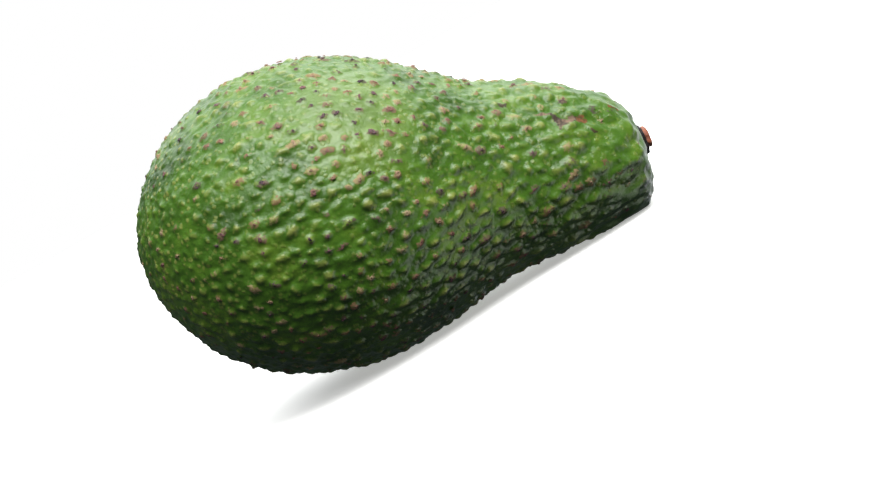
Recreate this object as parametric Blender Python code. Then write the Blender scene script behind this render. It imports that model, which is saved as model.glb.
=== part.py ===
"""A pear-shaped avocado with a pebbled skin and its dry stem button, lying on its side.

Metres, +Z up. The fruit lies along +X with the stem at +X, on a small flat spot under its belly
and a smaller one under its neck. The origin is the bottom centre of the whole
object's box. Every shape is first made in the fruit's own frame, whose X runs along the fruit
from blossom end to stem, with its zero at the belly, and which leans neck down as it rests.
"""

import math

import bmesh
import bpy
import numpy as np
from mathutils import Vector
from mathutils.geometry import delaunay_2d_cdt

# The fruit's outline: (place along the fruit, distance from its axis) of the control points of
# a cubic B-spline, from the blossom end to the stem end.
OUTLINE = (
    (-0.0369, 0.0),
    (-0.0369, 0.0105),
    (-0.0237, 0.0323),
    (0.0077, 0.0389),
    (0.0290, 0.0334),
    (0.0478, 0.0228),
    (0.0598, 0.0215),
    (0.0770, 0.0162),
    (0.0862, 0.0132),
    (0.0862, 0.0),
)
OUTLINE_STEPS = 600
SAME_POINT = 1e-9

# The fruit isn't quite round: shares of its radius, each with the turn that it starts from.
OVAL = (0.012, 0.6)
THREE_SIDED = (0.007, 2.1)
NECK_RIBS = (5, 0.020, 0.9)
NECK_RIBS_FROM = 0.050
NECK_RIBS_FULL = 0.080

# The stem end leans back at the top, and its hollow sits a little above the fruit's axis.
STEM_END_LEAN = 0.19
STEM_END_FROM = 0.068
STEM_END_FULL = 0.084
HOLLOW_DEPTH = 0.0026
HOLLOW_FLOOR_RADIUS = 0.0041
HOLLOW_RIM_RADIUS = 0.0064
HOLLOW_LIFT = 0.0013
HOLLOW_LIFT_RADIUS = 0.014

# Pebbles: the nodules that cover the skin, at their true size. Small ones are the more common.
SEED = 11
PEBBLE_SPACING = 0.0029
PEBBLE_TRIALS = 60000
PEBBLE_LOW = 0.00026
PEBBLE_HIGH = 0.00068
PEBBLE_FAVOURS_LOW = 1.3
VALLEY_DEPTH = 0.00016
SMOOTH_FROM = 0.066
SMOOTH_FULL = 0.081
SMOOTH_SHARE = 0.88

# Plain rings of points round the two ends: (radius, points on the ring).
STEM_RINGS = ((0.0041, 14), (0.0059, 16), (0.0082, 17))
BLOSSOM_RING = (0.0026, 8)
BLOSSOM_TIP = 0.0002
RING_CLEARANCE = 0.0023

# Where the fruit rests, along its axis, and how far the flesh has settled there.
BELLY_STRETCH = (-0.040, 0.040)
BELLY_SETTLE = 0.00052
NECK_STRETCH = (0.045, 0.090)
NECK_SETTLE = 0.00020
STEEPEST_LEAN = math.radians(40)
LEAN_HALVINGS = 50

# Stem button: (height above its base, radius) of the collar and then of the corky stub.
BUTTON_RINGS = (
    (0.0, 0.0029),
    (0.0004, 0.0034),
    (0.0016, 0.0035),
    (0.0026, 0.0033),
    (0.0029, 0.0028),
    (0.0033, 0.0025),
    (0.0041, 0.0027),
    (0.0046, 0.0024),
    (0.0048, 0.0015),
)
BUTTON_SIDES = 26
BUTTON_PITH = 0.0045
BUTTON_LOBES = ((5, 0.05, 0.4), (8, 0.035, 1.9))
BUTTON_GAP = 0.0003

SKIN_GREEN = (0.062, 0.150, 0.018)
SKIN_ROUGHNESS = 0.32
CORK_BROWN = (0.245, 0.088, 0.040)
CORK_ROUGHNESS = 0.85


def smooth_step(value, start, end):
    """A smooth rise from 0 at start to 1 at end."""
    share = np.clip((value - start) / (end - start), 0.0, 1.0)
    return share * share * (3.0 - 2.0 * share)


def spline_points(control, steps):
    """Points on a clamped cubic B-spline."""
    control = np.asarray(control, float)
    degree = 3
    spans = len(control) - degree
    knots = np.concatenate([np.zeros(degree), np.arange(spans + 1.0), np.full(degree, spans)])
    at = np.linspace(0.0, spans * (1.0 - 1e-9), steps)[:, None]
    basis = ((knots[:-1] <= at) & (at < knots[1:])).astype(float)
    for k in range(1, degree + 1):
        rise = np.maximum(knots[k:-1] - knots[:-k - 1], 1e-12)
        fall = np.maximum(knots[k + 1:] - knots[1:-k], 1e-12)
        left = (at - knots[:-k - 1]) / rise * basis[:, :-1]
        right = (knots[k + 1:] - at) / fall * basis[:, 1:]
        basis = left + right
    return basis @ control


class FruitForm:
    """The fruit's plain form, without pebbles: a place on it is (share of the outline, turn)."""

    def __init__(self):
        self.share = np.linspace(0.0, 1.0, OUTLINE_STEPS)
        self.along, self.radius = spline_points(OUTLINE, OUTLINE_STEPS).T
        steps = np.hypot(np.diff(self.along), np.diff(self.radius))
        middle = np.maximum((self.radius[1:] + self.radius[:-1]) / 2, 1e-6)
        self.area = np.concatenate([[0.0], np.cumsum(steps * middle)]) * math.tau
        stretch = np.concatenate([[0.0], np.cumsum(steps / middle)])
        self.stretch = stretch - stretch[self.radius.argmax()]

    def points(self, share, turn):
        """Places on the form. Turn 0 is the top, and a quarter turn is away from the viewer."""
        along = np.interp(share, self.share, self.along)
        radius = np.interp(share, self.share, self.radius)
        ribs, rib_height, rib_start = NECK_RIBS
        ribbed = smooth_step(along, NECK_RIBS_FROM, NECK_RIBS_FULL)
        wide = (
            1.0
            + OVAL[0] * np.cos(2 * (turn - OVAL[1]))
            + THREE_SIDED[0] * np.cos(3 * (turn - THREE_SIDED[1]))
            + rib_height * ribbed * np.cos(ribs * (turn - rib_start))
        )
        up = radius * wide * np.cos(turn)
        away = radius * wide * np.sin(turn)
        at_stem = smooth_step(along, STEM_END_FROM, STEM_END_FULL)
        hollow = 1.0 - smooth_step(radius, HOLLOW_FLOOR_RADIUS, HOLLOW_RIM_RADIUS)
        lift = 1.0 - smooth_step(radius, HOLLOW_RIM_RADIUS, HOLLOW_LIFT_RADIUS)
        along = along - at_stem * (STEM_END_LEAN * up + HOLLOW_DEPTH * hollow)
        return np.stack([along, away, up + HOLLOW_LIFT * lift * at_stem], axis=-1)

    def normals(self, share, turn):
        """Outward directions of the form."""
        step = 1e-4
        along = self.points(share + step, turn) - self.points(share - step, turn)
        across = self.points(share, turn + step) - self.points(share, turn - step)
        normal = np.cross(along, across)
        return normal / np.maximum(np.linalg.norm(normal, axis=-1, keepdims=True), 1e-12)

    def plane(self, share, turn):
        """The form laid flat without distortion of angles, the stem at the middle."""
        far = np.exp(-np.interp(share, self.share, self.stretch))
        return np.stack([far * np.cos(turn), far * np.sin(turn)], axis=-1)

    def share_at_radius(self, radius, stem):
        """The share of the outline where it has this radius, near the stem or the blossom."""
        widest = self.radius.argmax()
        if stem:
            return np.interp(-radius, -self.radius[widest:], self.share[widest:])
        return np.interp(radius, self.radius[:widest], self.share[:widest])


def ring(form, radius, count, stem):
    """Plain points on a ring round one end."""
    share = np.full(count, form.share_at_radius(radius, stem))
    turn = np.arange(count) * math.tau / count
    return share, turn


def scatter_pebbles(form, kept_share, kept_turn):
    """Pebble places at random but never closer than the spacing, and clear of the kept points."""
    draw = np.random.default_rng(SEED)
    share = np.interp(draw.random(PEBBLE_TRIALS) * form.area[-1], form.area, form.share)
    turn = draw.random(PEBBLE_TRIALS) * math.tau
    places = form.points(share, turn)
    kept = form.points(kept_share, kept_turn)
    taken = np.empty((PEBBLE_TRIALS, 3))
    chosen = []
    for trial, place in enumerate(places):
        if (np.sum((kept - place) ** 2, axis=1) < RING_CLEARANCE**2).any():
            continue
        near = np.sum((taken[:len(chosen)] - place) ** 2, axis=1)
        if len(chosen) and near.min() < PEBBLE_SPACING**2:
            continue
        taken[len(chosen)] = place
        chosen.append(trial)
    share, turn = share[chosen], turn[chosen]
    size = draw.random(len(chosen))
    return share, turn, PEBBLE_LOW + (PEBBLE_HIGH - PEBBLE_LOW) * size**PEBBLE_FAVOURS_LOW


def fruit_surface(form):
    """The pebbled skin: its points and its faces."""
    rings = [ring(form, radius, count, True) for radius, count in STEM_RINGS]
    rings.append(ring(form, *BLOSSOM_RING, False))
    ring_share = np.concatenate([share for share, _ in rings])
    ring_turn = np.concatenate([turn for _, turn in rings])
    share, turn, height = scatter_pebbles(form, ring_share, ring_turn)
    pebbles = len(share)
    stem_pole = pebbles + len(ring_share)
    blossom_pole = stem_pole + 1
    share = np.concatenate([share, ring_share, [1.0, 0.0]])
    turn = np.concatenate([turn, ring_turn, [0.0, 0.0]])
    places = form.points(share, turn)
    outward = form.normals(share, turn)

    flat = form.plane(share[:stem_pole], turn[:stem_pole])
    flat = [Vector(point) for point in flat] + [Vector((0.0, 0.0))]
    joined = delaunay_2d_cdt(flat, [], [], 0, SAME_POINT, False)[2]
    triangles = [tuple(corners) for corners in joined]
    edge = range(stem_pole - BLOSSOM_RING[1], stem_pole)
    triangles += [(blossom_pole, first, after) for first, after in zip(edge, (*edge[1:], edge[0]))]

    height *= 1.0 - SMOOTH_SHARE * smooth_step(places[:pebbles, 0], SMOOTH_FROM, SMOOTH_FULL)
    raised = places.copy()
    raised[:pebbles] += outward[:pebbles] * height[:, None]
    raised[blossom_pole, 0] -= BLOSSOM_TIP
    valleys, faces = valley_network(places, outward, triangles, pebbles)
    return np.vstack([raised, valleys]), faces


def valley_network(places, outward, triangles, pebbles):
    """Low points between the pebbles, and faces that leave each pebble standing alone.

    Every triangle that touches a pebble gets a valley point in its middle. Where two such
    triangles meet, their valley points are joined, so that the valleys run round each pebble.
    """
    valleys = []
    faces = []
    valleys_beside = {}
    for corners in triangles:
        if min(corners) >= pebbles:
            faces.append(corners)
            continue
        middle = places[list(corners)].mean(axis=0)
        up = outward[list(corners)].mean(axis=0)
        valley = len(places) + len(valleys)
        valleys.append(middle - up / np.linalg.norm(up) * VALLEY_DEPTH)
        for first, after in zip(corners, (*corners[1:], corners[0])):
            valleys_beside.setdefault(frozenset((first, after)), []).append(valley)
    for ends, beside in valleys_beside.items():
        if len(beside) == 1:
            faces.append((*ends, *beside))
        else:
            faces += [(end, *beside) for end in ends]
    return np.array(valleys), faces


def lowest(form, lean, stretch):
    """The lowest point of the plain form on a stretch along it, at a lean."""
    place = form.points(form.share, np.full(OUTLINE_STEPS, math.pi))
    height = place[:, 2] * math.cos(lean) - place[:, 0] * math.sin(lean)
    return height[(place[:, 0] > stretch[0]) & (place[:, 0] < stretch[1])].min()


def resting_lean(form):
    """How far the fruit leans neck down: the angle at which belly and neck both touch."""
    low, high = 0.0, STEEPEST_LEAN
    for _ in range(LEAN_HALVINGS):
        lean = (low + high) / 2
        belly = lowest(form, lean, BELLY_STRETCH) + BELLY_SETTLE
        neck = lowest(form, lean, NECK_STRETCH) + NECK_SETTLE
        if neck > belly:
            low = lean
        else:
            high = lean
    return lean


def settle(points, lean, floor):
    """Points that would lie under the surface that the fruit rests on are pressed up to it."""
    up = np.array([-math.sin(lean), 0.0, math.cos(lean)])
    under = np.maximum(floor - points @ up, 0.0)
    return points + under[:, None] * up


def make_object(name, points, faces, material, parent):
    """A closed mesh object with its faces pointing out, held by the parent."""
    mesh = bpy.data.meshes.new(name)
    mesh.from_pydata([tuple(point) for point in points], [], faces)
    tidy = bmesh.new()
    tidy.from_mesh(mesh)
    bmesh.ops.recalc_face_normals(tidy, faces=tidy.faces)
    tidy.to_mesh(mesh)
    tidy.free()
    mesh.shade_smooth()
    mesh.materials.append(material)
    made = bpy.data.objects.new(name, mesh)
    made.parent = parent
    bpy.context.scene.collection.objects.link(made)
    return made


def make_material(name, colour, roughness):
    """A plain surface of one colour."""
    material = bpy.data.materials.new(name)
    material.use_nodes = True
    shader = material.node_tree.nodes["Principled BSDF"]
    shader.inputs["Base Color"].default_value = (*colour, 1.0)
    shader.inputs["Roughness"].default_value = roughness
    shader.inputs["Metallic"].default_value = 0.0
    return material


def button_surface():
    """The stem button: a lobed collar, a narrower corky stub, and a sunken pith in its cut end.

    It leans back at the top as the stem end does.
    """
    turn = np.arange(BUTTON_SIDES) * math.tau / BUTTON_SIDES
    lobed = 1.0 + sum(depth * np.cos(count * (turn - start)) for count, depth, start in BUTTON_LOBES)
    points = [(0.0, 0.0, 0.0)]
    for height, radius in BUTTON_RINGS:
        points += [
            (height, radius * wide * math.sin(angle), radius * wide * math.cos(angle))
            for angle, wide in zip(turn, lobed)
        ]
    points.append((BUTTON_PITH, 0.0, 0.0))
    points = [(height - STEM_END_LEAN * up, away, up) for height, away, up in points]
    top = len(points) - 1
    faces = []
    for side in range(BUTTON_SIDES):
        after = (side + 1) % BUTTON_SIDES
        faces.append((0, 1 + after, 1 + side))
        for level in range(len(BUTTON_RINGS) - 1):
            first = 1 + level * BUTTON_SIDES
            above = first + BUTTON_SIDES
            faces.append((first + side, first + after, above + after, above + side))
        last = top - BUTTON_SIDES
        faces.append((last + side, last + after, top))
    return np.array(points), faces


def clear_scene():
    """Removes whatever the scene holds."""
    for old in list(bpy.data.objects):
        bpy.data.objects.remove(old)


def stand_on_origin(holder, objects):
    """Moves the holder so that the bottom centre of the objects' box is the origin."""
    bpy.context.view_layer.update()
    corners = [obj.matrix_world @ vertex.co for obj in objects for vertex in obj.data.vertices]
    low = Vector(map(min, *corners))
    high = Vector(map(max, *corners))
    holder.location -= Vector(((low.x + high.x) / 2, (low.y + high.y) / 2, low.z))


def main():
    """Builds the fruit and its stem button."""
    clear_scene()
    form = FruitForm()
    lean = resting_lean(form)
    floor = lowest(form, lean, BELLY_STRETCH) + BELLY_SETTLE
    fruit_axis = bpy.data.objects.new("fruit_axis", None)
    fruit_axis.rotation_euler = (0.0, lean, 0.0)
    bpy.context.scene.collection.objects.link(fruit_axis)

    skin = make_material("avocado_skin", SKIN_GREEN, SKIN_ROUGHNESS)
    points, faces = fruit_surface(form)
    fruit = make_object("fruit", settle(points, lean, floor), faces, skin, fruit_axis)

    cork = make_material("stem_cork", CORK_BROWN, CORK_ROUGHNESS)
    points, faces = button_surface()
    button = make_object("stem_button", points, faces, cork, fruit_axis)
    hollow_middle = form.points(np.array([1.0]), np.array([0.0]))[0]
    button.location = Vector(hollow_middle) + Vector((BUTTON_GAP, 0.0, 0.0))
    stand_on_origin(fruit_axis, (fruit, button))


main()
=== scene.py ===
"""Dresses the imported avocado: its pebbled waxy skin, corky tips, a scar and the dry stem button.

Lengths are metres, unless a name or a docstring says millimetres. The fruit's own frame has X along
the fruit from blossom end to stem, with its zero at the belly, and Z at the top. The frame of the
part has the fruit lying neck down on Z = 0. A fade is a tuple of four numbers: where it starts and
ends, and its value before and after.
"""

import logging
import math
from collections.abc import Callable
from dataclasses import dataclass
from enum import Enum
from functools import partial
from typing import Any

import bpy
import numpy as np
from mathutils import Matrix, Vector, noise
from mathutils.bvhtree import BVHTree


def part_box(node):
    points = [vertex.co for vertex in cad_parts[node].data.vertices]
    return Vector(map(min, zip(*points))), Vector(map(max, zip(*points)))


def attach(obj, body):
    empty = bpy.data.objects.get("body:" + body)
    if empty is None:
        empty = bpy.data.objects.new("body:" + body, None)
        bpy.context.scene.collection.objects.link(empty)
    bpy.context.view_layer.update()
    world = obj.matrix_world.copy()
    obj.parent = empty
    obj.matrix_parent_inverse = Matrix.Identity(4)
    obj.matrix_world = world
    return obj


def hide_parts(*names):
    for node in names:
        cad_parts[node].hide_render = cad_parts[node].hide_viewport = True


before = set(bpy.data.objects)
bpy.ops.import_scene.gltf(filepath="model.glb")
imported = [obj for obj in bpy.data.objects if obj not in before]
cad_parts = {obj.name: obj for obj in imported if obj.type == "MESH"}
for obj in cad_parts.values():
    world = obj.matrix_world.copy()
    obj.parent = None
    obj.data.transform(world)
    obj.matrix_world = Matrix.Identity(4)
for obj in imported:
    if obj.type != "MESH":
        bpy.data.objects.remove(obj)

MILLIMETRE = 0.001
TINY = 1e-12
JUST_SHORT = 1.0 - 1e-9
ROOT = "root"
SOCKET_TYPES = {float: "NodeSocketFloat", int: "NodeSocketInt", bpy.types.Object: "NodeSocketObject"}
SMOOTH = {"interpolation_type": "SMOOTHSTEP"}

# The node types that are used most.
MATH = "ShaderNodeMath"
VECTOR_MATH = "ShaderNodeVectorMath"
MAP_RANGE = "ShaderNodeMapRange"
MIX = "ShaderNodeMix"
NOISE = "ShaderNodeTexNoise"
RAMP = "ShaderNodeValToRGB"
BUMP = "ShaderNodeBump"
COORDINATES = "ShaderNodeTexCoord"
ATTRIBUTE = "ShaderNodeAttribute"
NAMED = "GeometryNodeInputNamedAttribute"
SAMPLE = "GeometryNodeSampleIndex"
STORE = "GeometryNodeStoreNamedAttribute"

log = logging.getLogger("avocado")


def linear_colour(code: str) -> tuple[float, float, float, float]:
    """Turns an sRGB hex colour to linear.

    Args:
        code: six hex digits after a hash mark.

    Returns:
        The linear red, green, blue and an alpha of one.
    """
    shares = [int(code[place:place + 2], 16) / 255 for place in (1, 3, 5)]
    linear = [s / 12.92 if s <= 0.04045 else ((s + 0.055) / 1.055) ** 2.4 for s in shares]
    return (*linear, 1.0)


def join_inputs(node: Any, inputs: dict | tuple) -> None:
    """Sets or links a node's inputs.

    Args:
        node: the node.
        inputs: by name, or in their order, a value, a node whose first output is linked, or an output.
    """
    for key, value in inputs.items() if isinstance(inputs, dict) else enumerate(inputs):
        if isinstance(key, int):
            socket = node.inputs[key]
        else:
            socket = next(socket for socket in node.inputs if socket.name == key and socket.enabled)
        if isinstance(value, bpy.types.Node):
            value = next(output for output in value.outputs if output.enabled)
        if isinstance(value, bpy.types.NodeSocket):
            node.id_data.links.new(value, socket)
        else:
            socket.default_value = value


def add_node(tree: Any, kind: str, inputs: dict | tuple = (), stops: tuple = (), **settings: Any) -> Any:
    """Adds a node with its settings and links.

    Args:
        tree: the node tree that gets it.
        kind: the node's type.
        inputs: what goes into it, as for join_inputs.
        stops: the places and hex colours of a colour ramp, in order.
        settings: the node's own values, by name.

    Returns:
        The new node.
    """
    node = tree.nodes.new(kind)
    for name, value in settings.items():
        setattr(node, name, value)
    for number, (place, code) in enumerate(stops):
        elements = node.color_ramp.elements
        element = elements[number] if number < 2 else elements.new(place)
        element.position = place
        element.color = linear_colour(code)
    join_inputs(node, inputs)
    return node


def new_material(name: str) -> tuple[bpy.types.Material, Callable, Any]:
    """Starts a material.

    Args:
        name: the material's name.

    Returns:
        The material, a function that adds a node to it, and its shader.
    """
    material = bpy.data.materials.new(name)
    material.use_nodes = True
    tree = material.node_tree
    return material, partial(add_node, tree), tree.nodes["Principled BSDF"]


def smooth_step(value: np.ndarray, start: float, end: float) -> np.ndarray:
    """Rises smoothly from 0 to 1.

    Args:
        value: where to read it.
        start: where it leaves 0.
        end: where it reaches 1.

    Returns:
        The share at each value.
    """
    share = np.clip((value - start) / (end - start), 0.0, 1.0)
    return share * share * (3.0 - 2.0 * share)


def spline_points(control: tuple, steps: int) -> np.ndarray:
    """Reads points on a clamped cubic B-spline.

    Args:
        control: its control points.
        steps: how many points to read.

    Returns:
        The points, one a row.
    """
    control = np.asarray(control, float)
    degree = 3
    spans = len(control) - degree
    knots = np.concatenate([np.zeros(degree), np.arange(spans + 1.0), np.full(degree, spans)])
    at = np.linspace(0.0, spans * JUST_SHORT, steps)[:, None]
    basis = ((knots[:-1] <= at) & (at < knots[1:])).astype(float)
    for k in range(1, degree + 1):
        rise = np.maximum(knots[k:-1] - knots[:-k - 1], TINY)
        fall = np.maximum(knots[k + 1:] - knots[1:-k], TINY)
        left = (at - knots[:-k - 1]) / rise * basis[:, :-1]
        right = (knots[k + 1:] - at) / fall * basis[:, 1:]
        basis = left + right
    return basis @ control


@dataclass
class FruitForm:
    """The fruit's plain form, without nodules. A place on it is a share of the outline and a turn.

    The sizes are those of the part's source, so that the skin lies where the solid does. oval and
    three_sided give a share of the radius and a turn, and neck_ribs a number, a share and a turn.
    """

    outline: tuple = (
        (-0.0369, 0.0),
        (-0.0369, 0.0105),
        (-0.0237, 0.0323),
        (0.0077, 0.0389),
        (0.0290, 0.0334),
        (0.0478, 0.0228),
        (0.0598, 0.0215),
        (0.0770, 0.0162),
        (0.0862, 0.0132),
        (0.0862, 0.0),
    )
    steps: int = 600
    least_radius: float = 1e-6
    normal_step: float = 1e-4
    oval: tuple = (0.012, 0.6)
    three_sided: tuple = (0.007, 2.1)
    neck_ribs: tuple = (5, 0.020, 0.9)
    neck_ribs_from: float = 0.050
    neck_ribs_full: float = 0.080
    stem_end_lean: float = 0.19
    stem_end_from: float = 0.068
    stem_end_full: float = 0.084
    hollow_depth: float = 0.0026
    hollow_floor_radius: float = 0.0041
    hollow_rim_radius: float = 0.0064
    hollow_lift: float = 0.0013
    hollow_lift_radius: float = 0.014
    belly_stretch: tuple = (-0.040, 0.040)
    belly_settle: float = 0.00052
    neck_stretch: tuple = (0.045, 0.090)
    neck_settle: float = 0.00020
    steepest_lean: float = math.radians(40)
    lean_halvings: int = 50
    fewest_on_ring: int = 6

    def __post_init__(self) -> None:
        """Reads the outline, its area and the lean at which the fruit rests."""
        self.share = np.linspace(0.0, 1.0, self.steps)
        self.along, self.radius = spline_points(self.outline, self.steps).T
        lengths = np.hypot(np.diff(self.along), np.diff(self.radius))
        middle = np.maximum((self.radius[1:] + self.radius[:-1]) / 2, self.least_radius)
        self.area = np.concatenate([[0.0], np.cumsum(lengths * middle)]) * math.tau
        self.lean = self.resting_lean()
        self.floor = self.lowest(self.lean, self.belly_stretch) + self.belly_settle

    def points(self, share: np.ndarray, turn: np.ndarray) -> np.ndarray:
        """Finds places on the form.

        Args:
            share: shares of the outline.
            turn: turns about the fruit's axis, 0 at the top and a quarter turn away from the viewer.

        Returns:
            The places, in the fruit's own frame.
        """
        along = np.interp(share, self.share, self.along)
        radius = np.interp(share, self.share, self.radius)
        ribs, rib_height, rib_start = self.neck_ribs
        ribbed = smooth_step(along, self.neck_ribs_from, self.neck_ribs_full)
        wide = (
            1.0
            + self.oval[0] * np.cos(2 * (turn - self.oval[1]))
            + self.three_sided[0] * np.cos(3 * (turn - self.three_sided[1]))
            + rib_height * ribbed * np.cos(ribs * (turn - rib_start))
        )
        up = radius * wide * np.cos(turn)
        away = radius * wide * np.sin(turn)
        at_stem = smooth_step(along, self.stem_end_from, self.stem_end_full)
        hollow = 1.0 - smooth_step(radius, self.hollow_floor_radius, self.hollow_rim_radius)
        lift = 1.0 - smooth_step(radius, self.hollow_rim_radius, self.hollow_lift_radius)
        along = along - at_stem * (self.stem_end_lean * up + self.hollow_depth * hollow)
        return np.stack([along, away, up + self.hollow_lift * lift * at_stem], axis=-1)

    def normals(self, share: np.ndarray, turn: np.ndarray) -> np.ndarray:
        """Finds the outward directions of the form.

        Args:
            share: shares of the outline.
            turn: turns about the fruit's axis.

        Returns:
            Unit directions, in the fruit's own frame.
        """
        step = self.normal_step
        along = self.points(share + step, turn) - self.points(share - step, turn)
        across = self.points(share, turn + step) - self.points(share, turn - step)
        normal = np.cross(along, across)
        return normal / np.maximum(np.linalg.norm(normal, axis=-1, keepdims=True), TINY)

    def share_at_radius(self, radius: float, stem: bool) -> float:
        """Finds where the outline has a radius.

        Args:
            radius: the radius.
            stem: whether it is near the stem, or else near the blossom end.

        Returns:
            The share of the outline.
        """
        widest = self.radius.argmax()
        if stem:
            return np.interp(-radius, -self.radius[widest:], self.share[widest:])
        return np.interp(radius, self.radius[:widest], self.share[:widest])

    def lowest(self, lean: float, stretch: tuple[float, float]) -> float:
        """Finds the lowest height of a stretch of the form.

        Args:
            lean: how far the fruit leans, neck down.
            stretch: where the stretch starts and ends along the fruit.

        Returns:
            The height over the middle of the fruit's own frame.
        """
        place = self.points(self.share, np.full(self.steps, math.pi))
        height = place[:, 2] * math.cos(lean) - place[:, 0] * math.sin(lean)
        return height[(place[:, 0] > stretch[0]) & (place[:, 0] < stretch[1])].min()

    def resting_lean(self) -> float:
        """Finds the lean, neck down, at which belly and neck both touch what the fruit lies on.

        Returns:
            The lean.
        """
        low, high = 0.0, self.steepest_lean
        for _ in range(self.lean_halvings):
            lean = (low + high) / 2
            belly = self.lowest(lean, self.belly_stretch) + self.belly_settle
            neck = self.lowest(lean, self.neck_stretch) + self.neck_settle
            if neck > belly:
                low = lean
            else:
                high = lean
        return lean

    def girth_rows(self, spacing: float) -> list[tuple[float, int]]:
        """Divides the form into rings of evenly spaced points.

        Args:
            spacing: the distance between points on a ring.

        Returns:
            Each ring's share of the outline and its number of points, from blossom to stem.
        """
        side = self.points(self.share, np.full(self.steps, math.pi / 2))
        walked = np.concatenate([[0.0], np.cumsum(np.linalg.norm(np.diff(side, axis=0), axis=1))])
        row_gap = spacing * math.sin(math.pi / 3)
        places = np.linspace(0.0, walked[-1], round(walked[-1] / row_gap) + 1)[1:-1]
        shares = np.interp(places, walked, self.share)
        radii = np.interp(shares, self.share, self.radius)
        fewest = self.fewest_on_ring
        return [(share, max(fewest, round(math.tau * r / spacing))) for share, r in zip(shares, radii)]


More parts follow.
